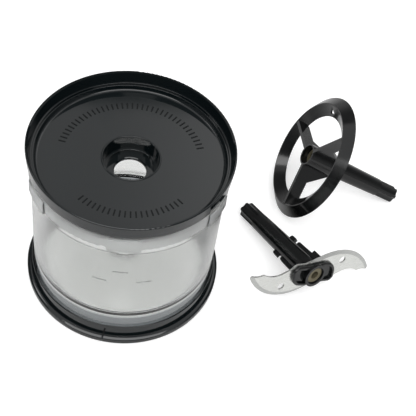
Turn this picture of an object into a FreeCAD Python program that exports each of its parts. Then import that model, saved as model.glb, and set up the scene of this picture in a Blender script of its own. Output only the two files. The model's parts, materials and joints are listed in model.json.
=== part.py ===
"""Bowl set of a small food chopper, taken apart on a table.

The clear bowl stands on its black base ring with the black lid on top. Beside it lie the chopping blade and
the whisking wheel, each on the splined shaft that a drive turns through the hole in the lid.

Millimetres, +Z up. The origin is on the table, on the bowl's axis. The bowl's front faces -Y.
"""
import FreeCAD, Part
import math
import os

Vector = FreeCAD.Vector

# ---- clearances and fits
lift_gap = 0.4            # between the bowl and the base ring, and between the lid's plug and the bowl
pin_fit = 0.05            # radial running clearance of a bush on the bowl's pin
seat_fit = 0.02           # radial clearance of pieces that are glued or pressed together
seal_gap = 0.3            # between the seal and the bowl

# ---- base ring
base_flare = 4.8          # how far the ring stands out round the bowl's foot
base_ledge = 3.0          # height of the ledge that the bowl stands on
base_ledge_reach = 3.5    # how far the ledge reaches in under the bowl
base_height = 16.6        # height of the ring's top lip
base_edge_height = 5.2    # top of the upright lower edge
base_foot_round = 2.0     # the lower edge curves in under the ring
base_groove = 0.5         # fine groove between the lower edge and the bead
base_bead = 1.5           # height of the low, crowned bead above the groove
base_bead_width = 2.4
base_bead_crown = 0.15    # how far the bead's middle stands above a straight slope
base_lip = 1.1            # thickness of the top lip
base_underside = 0.6      # how far the ring stays off the table beside its grip
slit_width = 1.1          # one slanted slit in the front of the ring
slit_wall = 0.3           # what the slit leaves of the wall behind it
slit_low = 5.9
slit_angle = -7.9
slit_slant = 8.0
grip_inset = 2.4          # the rubber grip under the ring lies this far in from its edge
grip_height = 1.2

# ---- bowl
bowl_height = 113.4       # from its lower edge to its rim
bowl_foot_radius = 61.0   # outside, at the lower edge
bowl_flare = 0.9          # how much wider the wall is just under the collar
bowl_wall = 2.0
floor_height = 25.0       # top of the bowl's floor above its lower edge
floor_thick = 2.0
floor_fillet = 5.0
collar_height = 17.5
collar_step = 1.0         # how far the collar stands out from the wall below it
collar_flare = 0.9        # how much wider the collar is at the rim
collar_wall = 1.1         # thickness of the collar at its foot
collar_slope = 2.0        # height of the inner step under the lid's plug
boss_height = 4.0         # of the cone round the pin, above the floor
boss_radius = 9.6
boss_foot_radius = 14.0
lug_count = 6             # blocks round the collar that the drive unit's twist lock grips
lug_angle = 18.4
lug_height = 11.2
lug_drop = 2.9            # from the rim to the top of a lug
lug_stand = 0.9           # how far a lug stands out past the collar's rim
lug_chamfer = 0.6
tab_angle = 5.4           # small tab under the collar's front
tab_height = 1.3
key_count = 3             # keys near the lower edge that drop into the base ring
key_angle = 9.0
key_low = 8.2
key_height = 5.2
key_stand = 0.5
key_gap = 0.35
mark_angle = 8.8          # raised fill marks on the front wall
mark_height = 0.7
mark_stand = 0.4
mark_low = 63.8           # lower pair of marks above the bowl's lower edge
mark_rise = 10.9          # from the lower pair to the single mark above
mark_places = (-12.9, -1.0, 13.1)   # degrees from the front

# ---- pin in the bowl
pin_radius = 3.0
pin_length = 41.0         # from the floor's underside to the pin's tip
pin_seat = 1.2            # closed end of the pin's bore
pin_tip = 0.8

# ---- lid
rim_overhang = 1.2        # how far the lid's rim stands out beyond the bowl's
rim_height = 9.4          # lid wall above the bowl's rim
rim_round = 0.9
rim_taper = 0.7           # how much smaller the wall is at its lower edge
rim_wall = 1.6            # thickness of the wall at its top
tray_depth = 12.0         # lid floor below the rim
lid_floor = 1.8           # its sunk edge is the plug that closes the bowl
ledge_depth = 7.5         # below the rim, the upper of two narrow ledges inside the lid's wall
ledge_drop = 1.3          # from the upper ledge to the lower one
ledge_inset = 3.1         # from the rim's edge to the upper ledge
ledge_width = 1.0
ledge_round = 0.3
tray_inset = 6.1
tray_fillet = 1.2
seal_height = 1.8
seal_depth = 1.4
seal_stand = 1.0          # groove above the plug's lower edge
well_radius = 17.6
well_depth = 11.3         # below the lid floor
well_taper = 0.6
well_step = 1.9           # height of the lower step
well_step_width = 1.6
well_wall = 2.0
well_lip = 0.5            # bead round the well's mouth
well_lip_width = 1.2
drive_hole_radius = 10.2
window_angle = 10.5       # recess in the lid's wall for the drive unit's interlock
window_middle = 55.5
window_depth = 1.0
window_top = 1.4          # below the rim

# ---- shafts of both tools
spline_radius = 6.17
spline_length = 16.0
spline_count = 6
groove_radius = 4.1
groove_depth = 1.5
spline_chamfer = 0.5
spline_shoulder = 0.2     # step between the splines and the thicker shaft
bush_bore = pin_radius + pin_fit
bush_mouth = 0.75         # how much wider the bore is in front of the lower bush
upper_bush_low = 24.0     # above the tool's datum plane
upper_bush_length = 8.0
upper_bush_radius = 4.8
tip_room = 4.0            # empty bore above the upper bush
tip_room_radius = 3.6

# ---- chopping blade tool, datum: the underside of the blade
blade_tool_length = 80.3
blade_shaft_radius = 7.75
blade_thick = 1.2
blade_bevel = 2.9
blade_hole_radius = 2.7
blade_hole_reach = 26.7
blade_hole_angle = 3.5
spigot_radius = 7.0       # passes through the blade into the foot
spigot_length = 1.2
flange_thick = 2.2
flange_inset = 1.2
fin_angle = -24.0
fin_thick = 3.0
fin_reach = 10.2          # at the step; a fin narrows from there to its top
fin_top_reach = 9.4
fin_top = 26.1
fin_step_reach = 12.3
fin_step_top = 11.9
stud_reach = 9.4
stud_low = 29.4
stud_top = 34.4
stud_round = 1.5
foot_thick = 2.6
foot_round = 1.3
foot_rim = 2.2
foot_pocket = 1.7
foot_boss_radius = 8.8
foot_boss_height = 4.0
lower_bush_radius = 6.1
lower_bush_recess = 1.2
lower_bush_seat = 5.0     # above the datum, inside the shaft
# half of the foot's outline; the other half is the same turned round the axis
foot_half = [(9.5, -5.9), (14.8, -2.9), ((18.1, 3.0), (17.8, 8.5)), ((16.4, 12.0), (12.4, 13.0)), (5.7, 10.2)]
cutting_edge = ((10.8, -10.8), (35.6, -1.9), (51.8, 21.2))
# the wing's tip and the two shallow scallops behind it
wing_back = [((51.7, 22.7), (50.1, 23.1)), ((45.2, 20.3), (40.6, 19.4)), ((33.8, 14.1), (26.0, 12.2)), (12.4, 12.6)]
blade_margin = 0.9        # how far the blade shows round the foot

# ---- whisking wheel, datum: the ring's front crest
wheel_tool_length = 82.7
crest_radius = 40.0
wheel_radius = 47.0
wheel_depth = 6.0
wheel_inner_radius = 32.1
wheel_inner_depth = 5.5
wheel_wall = 2.0
crest_width = 0.8
spoke_count = 3
spoke_angle = -10.5
spoke_thick = 2.6
spoke_depth = 9.5
spoke_tip = 3.6           # how far a spoke's rear corner stays inside the crest
gusset_reach = 19.0
gusset_top = 24.6
hub_radius = 8.0
hub_length = 25.0
hub_bore = 6.2
wheel_bush_recess = 4.6
wheel_bush_length = 7.0
wheel_shaft_radius = 7.2
recess_reach = 36.6       # small three-cornered recess in the ring's inner face
recess_size = 6.0
recess_depth = 1.6
recess_angle = 52.0

# ---- where the two tools lie
blade_place = (130.35, -11.5)    # datum point of each tool, seen from above
blade_heading = 123.3            # direction of the shaft's splined end
wheel_place = (126.7, 78.5)
wheel_heading = 1.2

# ---- radii and heights that follow from the values above
base_radius = bowl_foot_radius + base_flare
base_opening_radius = bowl_foot_radius - base_ledge_reach
grip_radius = base_radius - grip_inset
bowl_neck_radius = bowl_foot_radius + bowl_flare
collar_foot_radius = bowl_neck_radius + collar_step
collar_rim_radius = collar_foot_radius + collar_flare
rim_inner_radius = collar_foot_radius - collar_wall
rim_radius = collar_rim_radius + rim_overhang
plug_radius = rim_inner_radius - lift_gap
bowl_low = base_ledge
bowl_rim = bowl_low + bowl_height
floor_top = bowl_low + floor_height
floor_low = floor_top - floor_thick
collar_low = bowl_rim - collar_height
lid_top = bowl_rim + rim_height
tray_floor = lid_top - tray_depth
plug_low = tray_floor - lid_floor
groove_low = plug_low + seal_stand
well_floor = tray_floor - well_depth


def upright(point):
    """A point of a profile, given as radius and height."""
    return Vector(point[0], 0, point[1])


def level(point):
    """A point of an outline, given as x and y."""
    return Vector(point[0], point[1], 0)


def outline(lay, start, *steps):
    """A closed face. Each step is a point, or two points: one on an arc and its end."""
    edges = []
    here = start
    for step in steps + (start,):
        if isinstance(step[0], tuple):
            edges.append(Part.Arc(lay(here), lay(step[0]), lay(step[1])).toShape())
            here = step[1]
        elif step != here:
            edges.append(Part.LineSegment(lay(here), lay(step)).toShape())
            here = step
    return Part.Face(Part.Wire(edges))


def round_off(start, corner, end):
    """Steps that round off a corner, from a point before it to a point after it."""
    middle = tuple(c + 0.29 * (a - c + b - c) for a, c, b in zip(start, corner, end))
    return start, (middle, end)


def turned(start, *steps):
    """A solid of revolution about the Z axis."""
    return outline(upright, start, *steps).revolve(Vector(), Vector(0, 0, 1), 360)


def plate(face, low, high):
    """A flat face raised into a plate between two heights."""
    return face.translated(Vector(0, 0, low)).extrude(Vector(0, 0, high - low))


def bar(radius, low, high):
    """A round bar on the Z axis."""
    return Part.makeCylinder(radius, high - low, Vector(0, 0, low))


def about_axis(shape, degrees):
    """A copy turned about the Z axis."""
    return shape.rotated(Vector(), Vector(0, 0, 1), degrees)


def ring_block(inner, outer, low, high, wide, middle):
    """A block of a ring, so many degrees wide; its middle is measured from the front, -Y."""
    block = Part.makeCylinder(outer, high - low, Vector(0, 0, low), Vector(0, 0, 1), wide)
    block = block.cut(bar(inner, low, high))
    return about_axis(block, middle - 90 - wide / 2)


def around(count):
    """Evenly spaced directions, in degrees."""
    return [360 * turn / count for turn in range(count)]


def half_turn(steps):
    """The same steps, turned half way round the origin."""
    turned_steps = []
    for step in steps:
        if isinstance(step[0], tuple):
            turned_steps.append(tuple((-x, -y) for x, y in step))
        else:
            turned_steps.append((-step[0], -step[1]))
    return turned_steps


# ------------------------------------------------------------------ base ring and grip
def bowl_outer(height):
    """Outer radius of the bowl's wall at a height above the table."""
    share = (height - bowl_low) / (collar_low - bowl_low)
    return bowl_foot_radius + share * (bowl_neck_radius - bowl_foot_radius)


def base_ring():
    seat = bowl_outer(base_height) + lift_gap
    bead_low = base_edge_height + base_groove
    bead_inner = base_radius - base_bead_width
    bead_middle = ((base_radius + bead_inner + base_bead_crown) / 2,
                   bead_low + (base_bead + base_groove) / 2 + base_bead_crown)
    ring = turned(
        (base_opening_radius, grip_height),
        (grip_radius, grip_height),
        (grip_radius, base_underside),
        *round_off((base_radius - base_foot_round, base_underside), (base_radius, base_underside),
                   (base_radius, base_underside + base_foot_round)),
        (base_radius, base_edge_height),
        (base_radius - base_groove, base_edge_height),
        (base_radius - base_groove, bead_low),
        (base_radius, bead_low),
        (base_radius, bead_low + base_groove),
        (bead_middle, (bead_inner, bead_low + base_bead)),
        (bead_inner - base_groove / 2, bead_low + base_bead - base_groove / 2),
        (bead_inner - base_groove, bead_low + base_bead),
        (seat + base_lip, base_height - base_lip),
        *round_off((seat + base_lip, base_height - base_lip / 2), (seat + base_lip, base_height),
                   (seat + base_lip / 2, base_height)),
        (seat, base_height - base_lip / 2),
        (seat, base_ledge),
        (base_opening_radius, base_ledge))
    key_slot_wide = key_angle + math.degrees(2 * key_gap / bowl_foot_radius)
    slot_radius = bowl_outer(key_low) + key_stand + key_gap
    for middle in key_angles():
        slot = ring_block(bowl_foot_radius, slot_radius, key_low - key_gap, base_height, key_slot_wide, middle)
        ring = ring.cut(slot)
    return ring.cut(ring_slit(seat + slit_wall))


def ring_slit(bottom):
    """The slanted slit in the ring's front, as a tool that reaches in to this radius."""
    tall = base_height - base_lip - slit_low
    slit = Part.makeBox(slit_width, base_radius, tall, Vector(-slit_width / 2, -base_radius - 1, -tall / 2))
    slit.rotate(Vector(), Vector(0, 1, 0), slit_slant)
    slit.translate(Vector(0, 0, slit_low + tall / 2))
    return about_axis(slit.cut(bar(bottom, 0, base_height)), slit_angle)


def base_grip():
    return turned(
        (base_opening_radius, 0),
        (grip_radius - seat_fit, 0),
        (grip_radius - seat_fit, grip_height),
        (base_opening_radius, grip_height))


# ------------------------------------------------------------------ bowl and its pin
def key_angles():
    """Middle of each key: two beside the front and one at the back."""
    return [180 + angle for angle in around(key_count)]


def bowl():
    boss_top = floor_top + boss_height
    skirt_inner = bowl_foot_radius - bowl_wall
    vessel = turned(
        (skirt_inner, bowl_low),
        (bowl_foot_radius, bowl_low),
        (bowl_neck_radius, collar_low),
        (collar_foot_radius, collar_low),
        (collar_rim_radius, bowl_rim - 0.4),
        (collar_rim_radius - 0.4, bowl_rim),
        (rim_inner_radius + 0.4, bowl_rim),
        (rim_inner_radius, bowl_rim - 0.4),
        (rim_inner_radius, plug_low - lift_gap),
        (bowl_neck_radius - bowl_wall, plug_low - lift_gap - collar_slope),
        (bowl_outer(floor_top) - bowl_wall, floor_top + floor_fillet),
        ((bowl_foot_radius - bowl_wall - 0.3 * floor_fillet, floor_top + 0.3 * floor_fillet),
         (bowl_foot_radius - bowl_wall - floor_fillet, floor_top)),
        (boss_foot_radius, floor_top),
        (boss_radius, boss_top),
        (pin_radius + seat_fit, boss_top),
        (pin_radius + seat_fit, floor_low + pin_seat),
        (0, floor_low + pin_seat),
        (0, floor_low),
        (skirt_inner - floor_thick, floor_low),
        (skirt_inner, floor_low - floor_thick))
    for middle in around(lug_count):
        vessel = vessel.fuse(collar_lug(middle))
    for middle in key_angles():
        vessel = vessel.fuse(ring_block(bowl_outer(key_low) - bowl_wall / 2, bowl_outer(key_low) + key_stand,
                                        key_low, key_low + key_height, key_angle, middle))
    vessel = vessel.fuse(ring_block(bowl_neck_radius - bowl_wall / 2, collar_foot_radius,
                                    collar_low - tab_height, collar_low + bowl_wall / 2, tab_angle, 0))
    for middle, rise in zip(mark_places, (0, mark_rise, 0)):
        low = bowl_low + mark_low + rise
        vessel = vessel.fuse(ring_block(bowl_outer(low) - bowl_wall / 2, bowl_outer(low) + mark_stand,
                                        low, low + mark_height, mark_angle, middle))
    return vessel.removeSplitter()


def collar_lug(middle):
    """One block on the collar, with its outer edges sloped."""
    top = bowl_rim - lug_drop
    outer = collar_rim_radius + lug_stand
    inner = collar_foot_radius - collar_wall / 2
    profile = outline(
        upright,
        (inner, top - lug_height),
        (outer - lug_chamfer, top - lug_height),
        (outer, top - lug_height + lug_chamfer),
        (outer, top - 2 * lug_chamfer),
        (outer - lug_chamfer, top),
        (inner, top))
    block = profile.revolve(Vector(), Vector(0, 0, 1), lug_angle)
    return about_axis(block, middle - 90 - lug_angle / 2)


def bowl_pin():
    top = floor_low + pin_length
    return turned(
        (0, floor_low + pin_seat),
        (pin_radius, floor_low + pin_seat),
        (pin_radius, top - pin_tip),
        (pin_radius - pin_tip, top),
        (0, top))


# ------------------------------------------------------------------ lid and its seal
def lid():
    wall_foot = rim_radius - rim_taper
    groove = plug_radius - seal_depth
    well_foot = well_radius - well_taper
    step_radius = well_foot - well_step_width
    floor_edge = rim_radius - tray_inset
    ledge_edge = rim_radius - ledge_inset - ledge_width
    cover = turned(
        (drive_hole_radius, well_floor - well_wall),
        (well_foot + well_wall, well_floor - well_wall),
        (well_radius + well_wall, plug_low),
        (plug_radius, plug_low),
        (plug_radius, groove_low),
        (groove, groove_low),
        (groove, groove_low + seal_height),
        (plug_radius, groove_low + seal_height),
        (plug_radius, bowl_rim),
        (wall_foot, bowl_rim),
        *round_off((rim_radius, lid_top - rim_round), (rim_radius, lid_top), (rim_radius - rim_round, lid_top)),
        (rim_radius - rim_wall, lid_top - rim_round),
        *ledge(ledge_edge, lid_top - ledge_depth),
        *ledge(ledge_edge - ledge_width, lid_top - ledge_depth - ledge_drop),
        *round_off((floor_edge + 0.3 * tray_fillet, tray_floor + tray_fillet),
                   (floor_edge, tray_floor), (floor_edge - tray_fillet, tray_floor)),
        (well_radius + well_lip_width, tray_floor),
        ((well_radius + well_lip_width / 2, tray_floor + well_lip), (well_radius, tray_floor)),
        (well_foot, well_floor + well_step),
        *round_off((step_radius + ledge_round, well_floor + well_step), (step_radius, well_floor + well_step),
                   (step_radius, well_floor + well_step - ledge_round)),
        (step_radius, well_floor),
        (drive_hole_radius + well_lip, well_floor),
        (drive_hole_radius, well_floor - well_lip))
    window_floor = wall_foot - window_depth
    window = ring_block(window_floor, rim_radius + 1, bowl_rim, lid_top - window_top, window_angle, window_middle)
    return cover.cut(window)


def ledge(edge, height):
    """Steps of the profile over one ledge inside the lid's wall, down to its rounded edge."""
    return ((edge + ledge_width, height),
            *round_off((edge + ledge_round, height), (edge, height), (edge, height - ledge_round)))


def lid_seal():
    """A soft ring in the plug's groove, with two low ribs."""
    low = groove_low
    inner = plug_radius - seal_depth + seat_fit
    outer = rim_inner_radius - seal_gap
    return turned(
        (inner, low + seat_fit),
        (plug_radius - 0.2, low + seat_fit),
        (outer, low + 0.25 * seal_height),
        (plug_radius - 0.2, low + 0.5 * seal_height),
        (outer, low + 0.75 * seal_height),
        (plug_radius - 0.2, low + seal_height - seat_fit),
        (inner, low + seal_height - seat_fit))


# ------------------------------------------------------------------ pieces that both tools share
def spline_cut(length):
    """The grooves of the splined end of a shaft of this length, as one tool."""
    reach = spline_radius - groove_depth + groove_radius
    groove = Part.makeCylinder(groove_radius, spline_length + 1, Vector(reach, 0, length - spline_length))
    return Part.makeCompound([about_axis(groove, angle) for angle in around(spline_count)])


def tool_bore(mouth):
    """The stepped bore that holds the upper bush and clears the pin's end."""
    top = upper_bush_low + upper_bush_length
    shaft_bore = bar(upper_bush_radius + seat_fit, mouth, top)
    return shaft_bore.fuse(bar(tip_room_radius, top, top + tip_room))


def bush(radius, low, high):
    sleeve = bar(radius, low, high).cut(bar(bush_bore, low, high))
    rims = [edge for edge in sleeve.Edges if abs(edge.Length - 2 * math.pi * radius) < 0.01]
    return sleeve.makeChamfer(0.3, rims)


def upper_bush():
    return bush(upper_bush_radius, upper_bush_low, upper_bush_low + upper_bush_length)


# ------------------------------------------------------------------ chopping blade tool
def s_outline(grow):
    """Outline of the foot and of the blade's middle, grown by an even margin."""
    steps = foot_half + half_turn(foot_half)
    face = outline(level, steps[-1], *steps)
    return face.makeOffset2D(grow) if grow else face


def wing_outline():
    """One wing of the blade: a long convex cutting edge, a tip, and two shallow scallops behind."""
    waist_x, waist_y = foot_half[-1]
    start, bulge, tip = cutting_edge
    return outline(level, (-waist_x, -waist_y - blade_margin), start, (bulge, tip), *wing_back)


def bevel_tool():
    """What grinding takes off the underside along the cutting edge."""
    edge = Part.Arc(*[level(point) for point in cutting_edge]).toShape()
    centre = edge.Curve.Center
    radius = edge.Curve.Radius
    wedge = outline(
        upright,
        (radius - blade_bevel, 0),
        (radius + 1, 0.85 * blade_thick * (1 + 1 / blade_bevel)),
        (radius + 1, -1),
        (radius - blade_bevel, -1))
    ground = wedge.revolve(Vector(), Vector(0, 0, 1), 360)
    return ground.translated(centre)


def chopping_blade():
    wing = plate(wing_outline(), 0, blade_thick).cut(bevel_tool())
    reach = math.radians(blade_hole_angle)
    hole_at = Vector(blade_hole_reach * math.cos(reach), blade_hole_reach * math.sin(reach), 0)
    wing = wing.cut(bar(blade_hole_radius, 0, blade_thick).translated(hole_at))
    middle = plate(s_outline(blade_margin), 0, blade_thick)
    blade = middle.fuse(wing).fuse(about_axis(wing, 180))
    return blade.cut(bar(spigot_radius + seat_fit, 0, blade_thick)).removeSplitter()


def blade_foot():
    body = plate(s_outline(0), -foot_thick, 0)
    lower_edges = [edge for edge in body.Edges if edge.BoundBox.ZMax < -foot_thick + 0.01]
    body = body.makeFillet(foot_round, lower_edges)
    pocket = plate(s_outline(-foot_rim), -foot_thick, foot_pocket - foot_thick)
    body = body.cut(pocket.cut(bar(foot_boss_radius, -foot_thick, 0)))
    body = body.fuse(bar(foot_boss_radius, -foot_boss_height, -foot_thick + foot_round))
    body = body.cut(bar(spigot_radius + seat_fit, -spigot_length, 0))
    body = body.cut(bar(lower_bush_radius + bush_mouth, -foot_boss_height, lower_bush_recess - foot_boss_height))
    return body.cut(bar(lower_bush_radius + seat_fit, -foot_boss_height, 0)).removeSplitter()


def side_fin(low, low_reach, high, high_reach, rounding):
    """A fin that stands out from the shaft in the plane y = 0, with its outer top corner rounded."""
    fin = outline(upright, (0, low), (low_reach, low),
                  *round_off((high_reach, high - rounding), (high_reach, high), (high_reach - rounding, high)),
                  (0, high))
    return fin.extrude(Vector(0, fin_thick, 0)).translated(Vector(0, -fin_thick / 2, 0))


def blade_shaft():
    spline_low = blade_tool_length - spline_length
    core = turned(
        (0, -spigot_length),
        (spigot_radius, -spigot_length),
        (spigot_radius, blade_thick),
        (blade_shaft_radius, blade_thick),
        (spline_radius + spline_shoulder, spline_low),
        (spline_radius, spline_low),
        (spline_radius, blade_tool_length - spline_chamfer),
        (spline_radius - spline_chamfer, blade_tool_length),
        (0, blade_tool_length))
    core = core.fuse(plate(s_outline(-flange_inset), blade_thick, blade_thick + flange_thick))
    fins = side_fin(blade_thick, fin_reach, fin_top, fin_top_reach, stud_round)
    fins = fins.fuse(side_fin(blade_thick, fin_step_reach, fin_step_top, fin_step_reach, fin_thick / 5))
    fins = fins.fuse(side_fin(stud_low, stud_reach, stud_top, stud_reach, stud_round))
    for side in (fin_angle, fin_angle + 180):
        core = core.fuse(about_axis(fins, side))
    core = core.cut(tool_bore(-spigot_length))
    core = core.cut(bar(lower_bush_radius + seat_fit, -spigot_length, lower_bush_seat))
    return core.cut(spline_cut(blade_tool_length)).removeSplitter()


def blade_lower_bush():
    return bush(lower_bush_radius, lower_bush_recess - foot_boss_height, lower_bush_seat)


# ------------------------------------------------------------------ whisking wheel tool
def wheel_ring():
    """A ring of angle section, crest to the front and open to the back."""
    return turned(
        (crest_radius - crest_width / 2, 0),
        (crest_radius + crest_width / 2, 0),
        (wheel_radius, wheel_depth),
        (wheel_radius - wheel_wall, wheel_depth),
        (crest_radius, wheel_wall),
        (wheel_inner_radius + wheel_wall, wheel_inner_depth),
        (wheel_inner_radius, wheel_inner_depth))


def spoke():
    """One web: a flat spoke and the gusset that runs back along the hub."""
    outer = crest_radius - crest_width
    web = outline(
        upright,
        (hub_bore + wheel_wall / 2, 0),
        (outer, 0),
        (outer + 0.5, 1.2),
        (crest_radius - spoke_tip, spoke_depth),
        (gusset_reach, spoke_depth),
        (hub_radius, gusset_top),
        (hub_bore + wheel_wall / 2, gusset_top))
    solid = web.extrude(Vector(0, spoke_thick, 0))
    return solid.translated(Vector(0, -spoke_thick / 2, 0))


def wheel_recess():
    """Cuts the three-cornered recess, square to the ring's inner face."""
    slope = math.atan2(wheel_inner_depth, crest_radius - wheel_inner_radius)
    depth = (crest_radius - recess_reach) * math.tan(slope)
    half = recess_size / 2
    corner = outline(level, (-half, -half), (half, 0), (-half, half))
    tool = corner.extrude(Vector(0, 0, -recess_size)).translated(Vector(0, 0, recess_depth))
    tool.rotate(Vector(), Vector(0, 1, 0), math.degrees(slope))
    tool.translate(Vector(recess_reach, 0, depth))
    return about_axis(tool, recess_angle)


def whisk_wheel():
    wheel = wheel_ring().cut(wheel_recess())
    for angle in around(spoke_count):
        wheel = wheel.fuse(about_axis(spoke(), spoke_angle + angle))
    wheel = wheel.fuse(bar(hub_radius, 0, hub_length))
    wheel = wheel.cut(bar(hub_bore + bush_mouth, 0, wheel_bush_recess))
    return wheel.cut(bar(hub_bore + seat_fit, 0, hub_length)).removeSplitter()


def whisk_shaft():
    spline_low = wheel_tool_length - spline_length
    bush_top = wheel_bush_recess + wheel_bush_length
    core = turned(
        (0, bush_top),
        (hub_bore, bush_top),
        (hub_bore, hub_length),
        (wheel_shaft_radius, hub_length),
        (spline_radius + spline_shoulder, spline_low),
        (spline_radius, spline_low),
        (spline_radius, wheel_tool_length - spline_chamfer),
        (spline_radius - spline_chamfer, wheel_tool_length),
        (0, wheel_tool_length))
    return core.cut(tool_bore(bush_top)).cut(spline_cut(wheel_tool_length))


def whisk_lower_bush():
    return bush(hub_bore, wheel_bush_recess, wheel_bush_recess + wheel_bush_length)


# ------------------------------------------------------------------ laying the tools on the table
def lying(place, heading, reach, at, length):
    """Placement of a tool that rests on an edge and on the rim of its splined end.

    The edge is this far from the tool's axis and this far above the tool's datum.
    """
    tilt = math.atan2(reach - spline_radius, length - spline_chamfer - at)
    turn = math.radians(heading)
    shaft = Vector(math.cos(tilt) * math.cos(turn), math.cos(tilt) * math.sin(turn), -math.sin(tilt))
    across = Vector(-math.sin(turn), math.cos(turn), 0)
    spin = FreeCAD.Rotation(across, shaft.cross(across), shaft, "ZXY")
    height = reach * math.cos(tilt) + at * math.sin(tilt)
    return FreeCAD.Placement(Vector(place[0], place[1], height), spin)


def blade_lie():
    """The blade tool rests on a wing tip, on the upper face's edge."""
    tip_drop = wing_outline().BoundBox.YMax
    return lying(blade_place, blade_heading, tip_drop, blade_thick, blade_tool_length)


def wheel_lie():
    """The whisking tool rests on the wheel's outer edge."""
    return lying(wheel_place, wheel_heading, wheel_radius, wheel_depth, wheel_tool_length)


def save(name, shape, placement=None):
    if placement is not None:
        shape = shape.copy()
        shape.Placement = placement.multiply(shape.Placement)
    shape.exportStep("parts/" + name + ".step")


def main():
    os.makedirs("parts", exist_ok=True)
    save("base_ring", base_ring())
    save("base_grip", base_grip())
    save("bowl", bowl())
    save("bowl_pin", bowl_pin())
    save("lid", lid())
    save("lid_seal", lid_seal())
    blade_tool = {
        "blade_shaft": blade_shaft,
        "chopping_blade": chopping_blade,
        "blade_foot": blade_foot,
        "blade_lower_bush": blade_lower_bush,
        "blade_upper_bush": upper_bush,
    }
    whisk_tool = {
        "whisk_wheel": whisk_wheel,
        "whisk_shaft": whisk_shaft,
        "whisk_lower_bush": whisk_lower_bush,
        "whisk_upper_bush": upper_bush,
    }
    for name, build in blade_tool.items():
        save(name, build(), blade_lie())
    for name, build in whisk_tool.items():
        save(name, build(), wheel_lie())


main()
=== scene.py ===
import json
import math

import bpy
from mathutils import Matrix, Vector


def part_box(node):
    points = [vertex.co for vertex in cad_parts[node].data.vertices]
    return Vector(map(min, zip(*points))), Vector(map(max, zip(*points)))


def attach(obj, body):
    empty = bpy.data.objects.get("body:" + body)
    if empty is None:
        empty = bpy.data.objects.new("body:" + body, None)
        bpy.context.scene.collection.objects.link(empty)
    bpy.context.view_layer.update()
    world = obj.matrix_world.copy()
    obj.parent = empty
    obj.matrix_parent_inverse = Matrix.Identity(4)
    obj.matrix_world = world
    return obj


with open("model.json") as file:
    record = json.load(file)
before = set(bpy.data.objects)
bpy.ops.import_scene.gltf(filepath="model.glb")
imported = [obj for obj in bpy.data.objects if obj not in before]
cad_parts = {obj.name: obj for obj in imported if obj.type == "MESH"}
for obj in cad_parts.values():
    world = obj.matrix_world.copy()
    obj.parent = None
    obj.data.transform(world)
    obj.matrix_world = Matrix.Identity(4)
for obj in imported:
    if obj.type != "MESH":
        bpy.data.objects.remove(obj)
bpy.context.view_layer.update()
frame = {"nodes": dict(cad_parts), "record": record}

MM = 0.001

# ---------------------------------------------------------------- where things are
FLOOR_HEIGHT = 25.0 * MM      # top of the bowl's floor above its lower edge
COLLAR_HEIGHT = 17.5 * MM
LUG_DEPTH = 0.7 * MM          # how far in from its outermost point a lug's face reaches
TRAY_DEPTH = 12.0 * MM        # lid floor below the lid's rim
SKIRT_INNER = 59.0 * MM
BUSH_MIDDLE = 1.1 * MM        # middle of the blade tool's lower bush above the tool's datum plane
BLADE_BEVEL = 2.9 * MM
# three points of the blade's cutting edge, in the tool's own frame
CUTTING_EDGE = [Vector(point) * MM for point in ((10.8, -10.8), (35.6, -1.9), (51.8, 21.2))]

BOWL_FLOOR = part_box("bowl")[0][2] + FLOOR_HEIGHT
COLLAR_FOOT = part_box("bowl")[1][2] - COLLAR_HEIGHT
LUG_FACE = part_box("bowl")[1][0] - LUG_DEPTH
LID_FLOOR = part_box("lid")[1][2] - TRAY_DEPTH
MOUNTS = {mount["name"]: mount for mount in frame["record"]["mounts"]}


def tool_frame(mount_name, bore_middle):
    """Origin and turn of a loose tool: its datum plane, and Z along the shaft towards the splined end."""
    shaft = -Vector(MOUNTS[mount_name]["axis"])
    across = Vector((-shaft.y, shaft.x, 0)).normalized()
    turn = Matrix((across, shaft.cross(across), shaft)).transposed()
    origin = Vector(MOUNTS[mount_name]["pos_m"]) - shaft * bore_middle
    return origin, turn


BLADE_AT, BLADE_TURN = tool_frame("blade_bush_bore", BUSH_MIDDLE)


# ---------------------------------------------------------------- nodes of a material
def paint(hex_colour):
    """An sRGB hex colour as linear RGBA."""
    channels = [int(hex_colour[i:i + 2], 16) / 255 for i in (1, 3, 5)]
    return [c / 12.92 if c <= 0.04045 else ((c + 0.055) / 1.055) ** 2.4 for c in channels] + [1.0]


def add(tree, kind, inputs=None, **settings):
    """Adds a node. An input takes a value, or the output of another node."""
    made = tree.nodes.new(kind)
    for name, value in settings.items():
        setattr(made, name, value)
    for key, value in (inputs or {}).items():
        if isinstance(value, bpy.types.NodeSocket):
            tree.links.new(value, made.inputs[key])
        else:
            made.inputs[key].default_value = value
    return made


def plug(tree, output, socket):
    """Links an output to a socket."""
    tree.links.new(output, socket)


def tinted(tree, factor, first, second):
    """A colour between two, each given as a hex colour or as the output of another node."""
    first, second = (paint(colour) if isinstance(colour, str) else colour for colour in (first, second))
    return add(tree, "ShaderNodeMix", {"Factor": factor, 6: first, 7: second}, data_type="RGBA").outputs[2]


def ranged(tree, value, source, target=(0.0, 1.0), **settings):
    """A value carried from one range over to another."""
    ends = {"From Min": source[0], "From Max": source[1], "To Min": target[0], "To Max": target[1]}
    return add(tree, "ShaderNodeMapRange", {"Value": value, **ends}, **settings).outputs["Result"]


def calculated(tree, operation, *values):
    """The result of a sum on one or two values."""
    return add(tree, "ShaderNodeMath", dict(enumerate(values)), operation=operation).outputs[0]


def new_material(name):
    """An empty material with a Principled shader."""
    material = bpy.data.materials.new(name)
    material.use_nodes = True
    tree = material.node_tree
    return material, tree, tree.nodes["Principled BSDF"]


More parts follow.
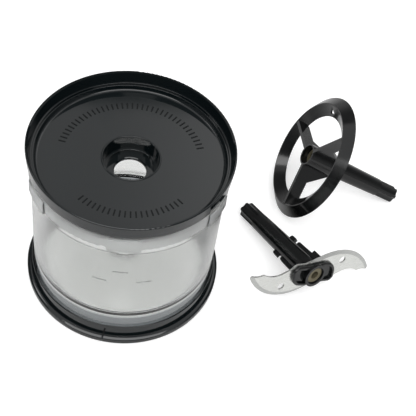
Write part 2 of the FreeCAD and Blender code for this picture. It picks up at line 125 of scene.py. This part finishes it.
def circle_through(a, b, c):
    """Centre and radius of the circle through three points of a plane."""
    ab, ac = b - a, c - a
    twice = 2 * (ab.x * ac.y - ab.y * ac.x)
    across = ac.y * ab.dot(ab) - ab.y * ac.dot(ac)
    along = ab.x * ac.dot(ac) - ac.x * ab.dot(ab)
    reach = Vector((across, along)) / twice
    return a + reach, reach.length


# ---------------------------------------------------------------- materials
def polished_abs():
    """Black ABS from a polished mould: deep black, a mirror sheen with a faint orange peel."""
    material, tree, shader = new_material("polished_abs_black")
    place = add(tree, "ShaderNodeTexCoord").outputs["Object"]
    peel = add(tree, "ShaderNodeTexNoise", {"Vector": place, "Scale": 160.0, "Detail": 2.0})
    haze = add(tree, "ShaderNodeTexNoise", {"Vector": place, "Scale": 35.0, "Detail": 4.0})
    bump = add(tree, "ShaderNodeBump", {"Height": peel.outputs["Fac"], "Strength": 0.03, "Distance": 0.00004})
    plug(tree, tinted(tree, haze.outputs["Fac"], "#050a0c", "#0a1113"), shader.inputs["Base Color"])
    plug(tree, ranged(tree, haze.outputs["Fac"], (0.3, 0.7), (0.035, 0.075)), shader.inputs["Roughness"])
    plug(tree, bump.outputs["Normal"], shader.inputs["Normal"])
    shader.inputs["IOR"].default_value = 1.53
    shader.inputs["Specular IOR Level"].default_value = 0.42
    return material


def etched_abs():
    """Black ABS from an etched patch of the mould: matt, so it stays dark where the polished lid shines."""
    material, tree, shader = new_material("etched_abs_black")
    place = add(tree, "ShaderNodeTexCoord").outputs["Object"]
    grain = add(tree, "ShaderNodeTexNoise", {"Vector": place, "Scale": 2500.0, "Detail": 3.0})
    bump = add(tree, "ShaderNodeBump", {"Height": grain.outputs["Fac"], "Strength": 0.3, "Distance": 0.00005})
    plug(tree, tinted(tree, grain.outputs["Fac"], "#060708", "#0e1112"), shader.inputs["Base Color"])
    plug(tree, bump.outputs["Normal"], shader.inputs["Normal"])
    shader.inputs["Roughness"].default_value = 0.55
    shader.inputs["Specular IOR Level"].default_value = 0.2
    return material


def satin_nylon():
    """Black glass-filled nylon from a finely etched mould: satin, its fine grain softens lights."""
    material, tree, shader = new_material("satin_nylon_black")
    place = add(tree, "ShaderNodeTexCoord").outputs["Object"]
    grain = add(tree, "ShaderNodeTexNoise", {"Vector": place, "Scale": 1600.0, "Detail": 3.0}).outputs["Fac"]
    swirl = {"Vector": place, "Scale": 60.0, "Detail": 4.0, "Distortion": 0.6}
    flow = add(tree, "ShaderNodeTexNoise", swirl)
    bump = add(tree, "ShaderNodeBump", {"Height": grain, "Strength": 0.08, "Distance": 0.00008})
    plug(tree, tinted(tree, flow.outputs["Fac"], "#070808", "#101112"), shader.inputs["Base Color"])
    plug(tree, ranged(tree, flow.outputs["Fac"], (0.3, 0.7), (0.1, 0.18)), shader.inputs["Roughness"])
    plug(tree, bump.outputs["Normal"], shader.inputs["Normal"])
    shader.inputs["IOR"].default_value = 1.53
    shader.inputs["Specular IOR Level"].default_value = 0.42
    return material


def clear_san():
    """Clear SAN copolymer, faintly hazed by use: nearly colourless, with painted shade in the skirt below the
    floor, lugs etched.
    """
    material, tree, shader = new_material("clear_san")
    place = add(tree, "ShaderNodeTexCoord").outputs["Object"]
    wave = add(tree, "ShaderNodeTexNoise", {"Vector": place, "Scale": 30.0, "Detail": 1.0})
    scuff_grain = {"Vector": place, "Scale": 300.0, "Detail": 5.0, "Roughness": 0.7}
    scuff = add(tree, "ShaderNodeTexNoise", scuff_grain)
    rough = ranged(tree, scuff.outputs["Fac"], (0.5, 0.75), (0.1, 0.16))
    bump = add(tree, "ShaderNodeBump", {"Height": wave.outputs["Fac"], "Strength": 0.05, "Distance": 0.0002})

    height = add(tree, "ShaderNodeSeparateXYZ", {"Vector": place}).outputs["Z"]
    flat = add(tree, "ShaderNodeVectorMath", {0: place, 1: (1, 1, 0)}, operation="MULTIPLY")
    from_axis = add(tree, "ShaderNodeVectorMath", {0: flat.outputs["Vector"]}, operation="LENGTH")
    reach = from_axis.outputs["Value"]
    on_lug = calculated(tree, "GREATER_THAN", reach, LUG_FACE)
    inside = calculated(tree, "LESS_THAN", reach, SKIRT_INNER - 0.2 * MM)
    above_floor = ranged(tree, height, (BOWL_FLOOR - 1.5 * MM, BOWL_FLOOR + 1.5 * MM))
    in_collar = ranged(tree, height, (COLLAR_FOOT - 0.1 * MM, COLLAR_FOOT + 0.1 * MM))
    # painted shade: below the floor and out in the skirt the wall is tinted dark grey, standing in for the
    # shadow that the black base ring casts on the table under the bowl
    clear = calculated(tree, "MAXIMUM", above_floor, inside)

    wall_with_painted_skirt_shade = tinted(tree, clear, "#7f8386", "#e5e6e5")
    wall_and_collar = tinted(tree, in_collar, wall_with_painted_skirt_shade, "#ffffff")
    plug(tree, tinted(tree, on_lug, wall_and_collar, "#c4c6c6"), shader.inputs["Base Color"])
    frost = add(tree, "ShaderNodeMix", {"Factor": on_lug, "A": rough, "B": 0.35})
    plug(tree, frost.outputs["Result"], shader.inputs["Roughness"])
    plug(tree, bump.outputs["Normal"], shader.inputs["Normal"])
    shader.inputs["Transmission Weight"].default_value = 1.0
    shader.inputs["IOR"].default_value = 1.55

    # light goes through the bowl almost unhindered, so its shadow on the table stays pale
    passing = add(tree, "ShaderNodeBsdfTransparent", {"Color": paint("#e4e5e3")})
    in_shadow = add(tree, "ShaderNodeLightPath").outputs["Is Shadow Ray"]
    shaders = {0: in_shadow, 1: shader.outputs["BSDF"], 2: passing.outputs["BSDF"]}
    mixed = add(tree, "ShaderNodeMixShader", shaders)
    plug(tree, mixed.outputs["Shader"], tree.nodes["Material Output"].inputs["Surface"])
    return material


def on_bevel(tree, local):
    """One on the ground bevel inside either cutting edge, else nought, for a place in the tool's frame: where
    the painted bevel shade goes.
    """
    side = calculated(tree, "SIGN", add(tree, "ShaderNodeSeparateXYZ", {"Vector": local}).outputs["X"])
    flat = add(tree, "ShaderNodeVectorMath", {0: local, 1: (1, 1, 0)}, operation="MULTIPLY")
    wing = add(tree, "ShaderNodeVectorMath", {0: flat.outputs["Vector"], "Scale": side}, operation="SCALE")
    centre, radius = circle_through(*CUTTING_EDGE)
    ends = {0: wing.outputs["Vector"], 1: (centre.x, centre.y, 0)}
    reach = add(tree, "ShaderNodeVectorMath", ends, operation="DISTANCE").outputs["Value"]
    bevel_start = radius - BLADE_BEVEL
    return ranged(tree, reach, (bevel_start - 0.15 * MM, bevel_start + 0.15 * MM))


def stamped_steel():
    """Stainless strip steel, fine brushed along the blade, with painted shade on the wheel-ground bevel at
    each edge.
    """
    material, tree, shader = new_material("brushed_stainless_blade")
    place = add(tree, "ShaderNodeTexCoord").outputs["Object"]
    back_turn = BLADE_TURN.transposed()
    to_tool = {"Vector": place, "Location": -(back_turn @ BLADE_AT), "Rotation": back_turn.to_euler()}
    local = add(tree, "ShaderNodeMapping", to_tool).outputs["Vector"]
    along_blade = {"Vector": local, "Scale": (60.0, 2500.0, 60.0)}
    stretched = add(tree, "ShaderNodeMapping", along_blade).outputs["Vector"]
    strokes = {"Vector": stretched, "Scale": 1.0, "Detail": 3.0}
    brushing = add(tree, "ShaderNodeTexNoise", strokes).outputs["Fac"]
    smear = add(tree, "ShaderNodeTexNoise", {"Vector": local, "Scale": 70.0, "Detail": 3.0}).outputs["Fac"]
    steel = tinted(tree, smear, "#d7d8d4", "#e7e8e5")
    bump = add(tree, "ShaderNodeBump", {"Height": brushing, "Strength": 0.12, "Distance": 0.00003})
    # painted shade: the ground bevel gets a darker tint, deepening the shading that its tilt already gives
    plug(tree, tinted(tree, on_bevel(tree, local), steel, "#c1c2c0"), shader.inputs["Base Color"])
    plug(tree, ranged(tree, brushing, (0.3, 0.7), (0.22, 0.36)), shader.inputs["Roughness"])
    plug(tree, bump.outputs["Normal"], shader.inputs["Normal"])
    shader.inputs["Metallic"].default_value = 1.0
    return material


def sintered_bronze():
    """Sintered oil-filled bronze: dull tan with fine dark pores."""
    material, tree, shader = new_material("sintered_bronze")
    place = add(tree, "ShaderNodeTexCoord").outputs["Object"]
    pores = add(tree, "ShaderNodeTexVoronoi", {"Vector": place, "Scale": 2200.0})
    cloud = add(tree, "ShaderNodeTexNoise", {"Vector": place, "Scale": 300.0, "Detail": 3.0})
    solid = ranged(tree, pores.outputs["Distance"], (0.1, 0.3))
    bump = add(tree, "ShaderNodeBump", {"Height": solid, "Strength": 0.3, "Distance": 0.00005})
    metal = tinted(tree, cloud.outputs["Fac"], "#625c49", "#7b745e")
    plug(tree, tinted(tree, solid, "#4b4231", metal), shader.inputs["Base Color"])
    plug(tree, bump.outputs["Normal"], shader.inputs["Normal"])
    shader.inputs["Metallic"].default_value = 0.6
    shader.inputs["Roughness"].default_value = 0.5
    return material


def turned_steel():
    """Stainless rod, turned and polished: bright, with fine rings round the axis."""
    material, tree, shader = new_material("turned_stainless_pin")
    place = add(tree, "ShaderNodeTexCoord").outputs["Object"]
    ring_cut = {"Vector": place, "Scale": 900.0, "Distortion": 0.4, "Detail": 1.0}
    rings = add(tree, "ShaderNodeTexWave", ring_cut, bands_direction="Z").outputs["Fac"]
    bump = add(tree, "ShaderNodeBump", {"Height": rings, "Strength": 0.08, "Distance": 0.00003})
    shader.inputs["Base Color"].default_value = paint("#f0f0ee")
    plug(tree, ranged(tree, rings, (0.0, 1.0), (0.05, 0.1)), shader.inputs["Roughness"])
    plug(tree, bump.outputs["Normal"], shader.inputs["Normal"])
    shader.inputs["Metallic"].default_value = 1.0
    return material


def soft_tpe():
    """Thermoplastic rubber from a blasted mould: charcoal, dead matt, fine grained, dusty in patches."""
    material, tree, shader = new_material("matt_tpe_charcoal")
    place = add(tree, "ShaderNodeTexCoord").outputs["Object"]
    grain = add(tree, "ShaderNodeTexNoise", {"Vector": place, "Scale": 1200.0, "Detail": 4.0})
    dust = add(tree, "ShaderNodeTexNoise", {"Vector": place, "Scale": 90.0, "Detail": 4.0})
    bump = add(tree, "ShaderNodeBump", {"Height": grain.outputs["Fac"], "Strength": 0.35, "Distance": 0.0001})
    plug(tree, tinted(tree, dust.outputs["Fac"], "#1c1c1c", "#2c2c2b"), shader.inputs["Base Color"])
    plug(tree, bump.outputs["Normal"], shader.inputs["Normal"])
    shader.inputs["Roughness"].default_value = 0.75
    return material


POLISHED_ABS = polished_abs()
ETCHED_ABS = etched_abs()
SATIN_NYLON = satin_nylon()
CLEAR_SAN = clear_san()
BLADE_STEEL = stamped_steel()
BRONZE = sintered_bronze()
PIN_STEEL = turned_steel()
TPE = soft_tpe()

FINISHES = {
    "base_ring": POLISHED_ABS,
    "base_grip": TPE,
    "bowl": CLEAR_SAN,
    "bowl_pin": PIN_STEEL,
    "lid": POLISHED_ABS,
    "lid_seal": TPE,
    "blade_shaft": SATIN_NYLON,
    "chopping_blade": BLADE_STEEL,
    "blade_foot": SATIN_NYLON,
    "blade_lower_bush": BRONZE,
    "blade_upper_bush": BRONZE,
    "whisk_shaft": SATIN_NYLON,
    "whisk_wheel": SATIN_NYLON,
    "whisk_lower_bush": BRONZE,
    "whisk_upper_bush": BRONZE,
}


def finish_with(piece, material):
    """Gives a piece one material."""
    piece.data.materials.clear()
    piece.data.materials.append(material)


for node_name, finish in FINISHES.items():
    finish_with(frame["nodes"][node_name], finish)


# ---------------------------------------------------------------- raised ticks on the lid's floor
TICK_REACH = 44.6 * MM        # from the lid's middle to a tick's middle
TICK_LENGTH = 4.6 * MM
TICK_WIDTH = 0.9 * MM
TICK_HEIGHT = 0.25 * MM
TICK_SUNK = 0.1 * TICK_HEIGHT
TICK_ROUND = 0.1 * MM
TICK_STEP = 4.2               # degrees
# degrees from the back, clockwise from above: a long arc round the back and a shorter one at the front
TICK_ARCS = ((-78.0, 76.0), (135.0, 222.0))


def tick_angles():
    """Where the ticks stand, arc by arc."""
    for start, end in TICK_ARCS:
        for step in range(int((end - start) / TICK_STEP) + 1):
            yield math.radians(start + TICK_STEP * step)


def round_top_edges(tick):
    """Rounds the edges round a tick's top face."""
    for edge in tick.data.edges:
        edge.select = all(tick.data.vertices[corner].co.z > LID_FLOOR for corner in edge.vertices)
    for face in tick.data.polygons:
        face.select = False
    bpy.ops.object.mode_set(mode="EDIT")
    bpy.context.tool_settings.mesh_select_mode = (False, True, False)
    bpy.ops.mesh.bevel(offset=TICK_ROUND, segments=2)
    bpy.ops.object.mode_set(mode="OBJECT")


def lid_ticks():
    """Two arcs of low radial ticks: one bar with a rounded top, copied round the drive hole."""
    bpy.ops.object.select_all(action="DESELECT")
    middle = LID_FLOOR + TICK_HEIGHT / 2 - TICK_SUNK
    bpy.ops.mesh.primitive_cube_add(size=1.0, location=(0, TICK_REACH, middle))
    tick = bpy.context.object
    tick.name = "lid_ticks"
    tick.scale = (TICK_WIDTH, TICK_LENGTH, TICK_HEIGHT)
    bpy.ops.object.transform_apply(location=True, rotation=False, scale=True)
    round_top_edges(tick)
    shape = tick.data.copy()
    first, *others = tick_angles()
    tick.data.transform(Matrix.Rotation(-first, 4, "Z"))
    for angle in others:
        copy = tick.copy()
        copy.data = shape.copy()
        copy.data.transform(Matrix.Rotation(-angle, 4, "Z"))
        bpy.context.collection.objects.link(copy)
        copy.select_set(True)
    bpy.ops.object.join()
    finish_with(tick, ETCHED_ABS)
    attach(tick, "lid")


lid_ticks()


# ---------------------------------------------------------------- floor, light and camera
PAPER_LIFT = 0.45
SWEEP_TOP = (0.2, 0.45)       # sine of the height where the paper sweep gives way to the walls
CEILING_EDGE = (0.716, 0.722)
GLOW_EDGE = (0.9, 1.0)        # cosine of the angle off the glow's middle
FRAME_PIXELS = 416


def seen_rays(tree):
    """One for what the lens sees, straight or through the clear bowl, else nought."""
    ray = add(tree, "ShaderNodeLightPath")
    return calculated(tree, "MAXIMUM", ray.outputs["Is Camera Ray"], ray.outputs["Is Transmission Ray"])


def studio_floor():
    """White paper: pure white to the lens, while it keeps the soft shadow."""
    bpy.ops.mesh.primitive_plane_add(size=6.0, location=(0, 0, 0))
    floor = bpy.context.object
    floor.name = "studio_floor"
    material, tree, shader = new_material("white_paper")
    shader.inputs["Base Color"].default_value = paint("#dcdcdc")
    shader.inputs["Roughness"].default_value = 0.9
    shader.inputs["Specular IOR Level"].default_value = 0.0
    shader.inputs["Emission Color"].default_value = (1, 1, 1, 1)
    plug(tree, calculated(tree, "MULTIPLY", seen_rays(tree), PAPER_LIFT), shader.inputs["Emission Strength"])
    finish_with(floor, material)


def studio_light(name, place, target, size, power):
    """A softbox, so wide and so deep, aimed at a point."""
    light = bpy.data.lights.new(name, "AREA")
    light.shape = "RECTANGLE"
    light.size, light.size_y = size
    light.energy = power
    lamp = bpy.data.objects.new(name, light)
    lamp.location = place
    lamp.rotation_euler = (Vector(target) - Vector(place)).to_track_quat("-Z", "Y").to_euler()
    bpy.context.collection.objects.link(lamp)


def studio_world(sweep, walls, ceiling, glow, glow_at):
    """Paper sweep low down, dim walls, pale ceiling, one glow where a reflector hangs; white to the lens."""
    world = bpy.data.worlds.new("studio")
    world.use_nodes = True
    bpy.context.scene.world = world
    tree = world.node_tree
    back = tree.nodes["Background"]
    back.inputs["Color"].default_value = (1, 1, 1, 1)
    aim = add(tree, "ShaderNodeTexCoord").outputs["Generated"]
    height = add(tree, "ShaderNodeSeparateXYZ", {"Vector": aim}).outputs["Z"]
    low = ranged(tree, height, SWEEP_TOP, (sweep, walls))
    room = ranged(tree, height, CEILING_EDGE, (low, ceiling), interpolation_type="SMOOTHSTEP")
    aims = {0: aim, 1: Vector(glow_at).normalized()}
    near = add(tree, "ShaderNodeVectorMath", aims, operation="DOT_PRODUCT").outputs["Value"]
    patch = ranged(tree, near, GLOW_EDGE, (0.0, glow), interpolation_type="SMOOTHSTEP")
    lit = calculated(tree, "ADD", room, patch)
    level = add(tree, "ShaderNodeMix", {"Factor": seen_rays(tree), "A": lit, "B": 1.0})
    plug(tree, level.outputs["Result"], back.inputs["Strength"])


def camera(place, pitch, roll, yaw, focal_px):
    """A camera from its pitch below the horizon, roll and yaw, and its focal length in pixels."""
    ahead = Vector((math.sin(yaw) * math.cos(pitch), math.cos(yaw) * math.cos(pitch), -math.sin(pitch)))
    side = Vector((math.cos(yaw), -math.sin(yaw), 0))
    down = ahead.cross(side)
    right = side * math.cos(roll) + down * math.sin(roll)
    below = down * math.cos(roll) - side * math.sin(roll)
    lens = bpy.data.cameras.new("camera")
    lens.sensor_width = 36.0
    lens.lens = focal_px / FRAME_PIXELS * lens.sensor_width
    lens.clip_start = 0.01
    shooter = bpy.data.objects.new("camera", lens)
    shooter.matrix_world = Matrix.Translation(place) @ Matrix((right, -below, -ahead)).transposed().to_4x4()
    bpy.context.collection.objects.link(shooter)
    bpy.context.scene.camera = shooter


studio_floor()
studio_world(sweep=0.5, walls=0.18, ceiling=1.0, glow=1.2, glow_at=(0.4, 0.6, 0.7))
studio_light("front_softbox", (0.0, -0.75, 1.25), (0.06, 0.02, 0.03), size=(1.8, 0.9), power=18.0)
studio_light("left_softbox", (-0.7, 0.25, 0.9), (0.12, 0.1, 0.02), size=(0.24, 0.28), power=0.8)
camera((0, -0.434, 0.610), math.radians(50.98), math.radians(-9.97), math.radians(6.92), focal_px=1059.0)
bpy.context.scene.view_settings.view_transform = "Standard"
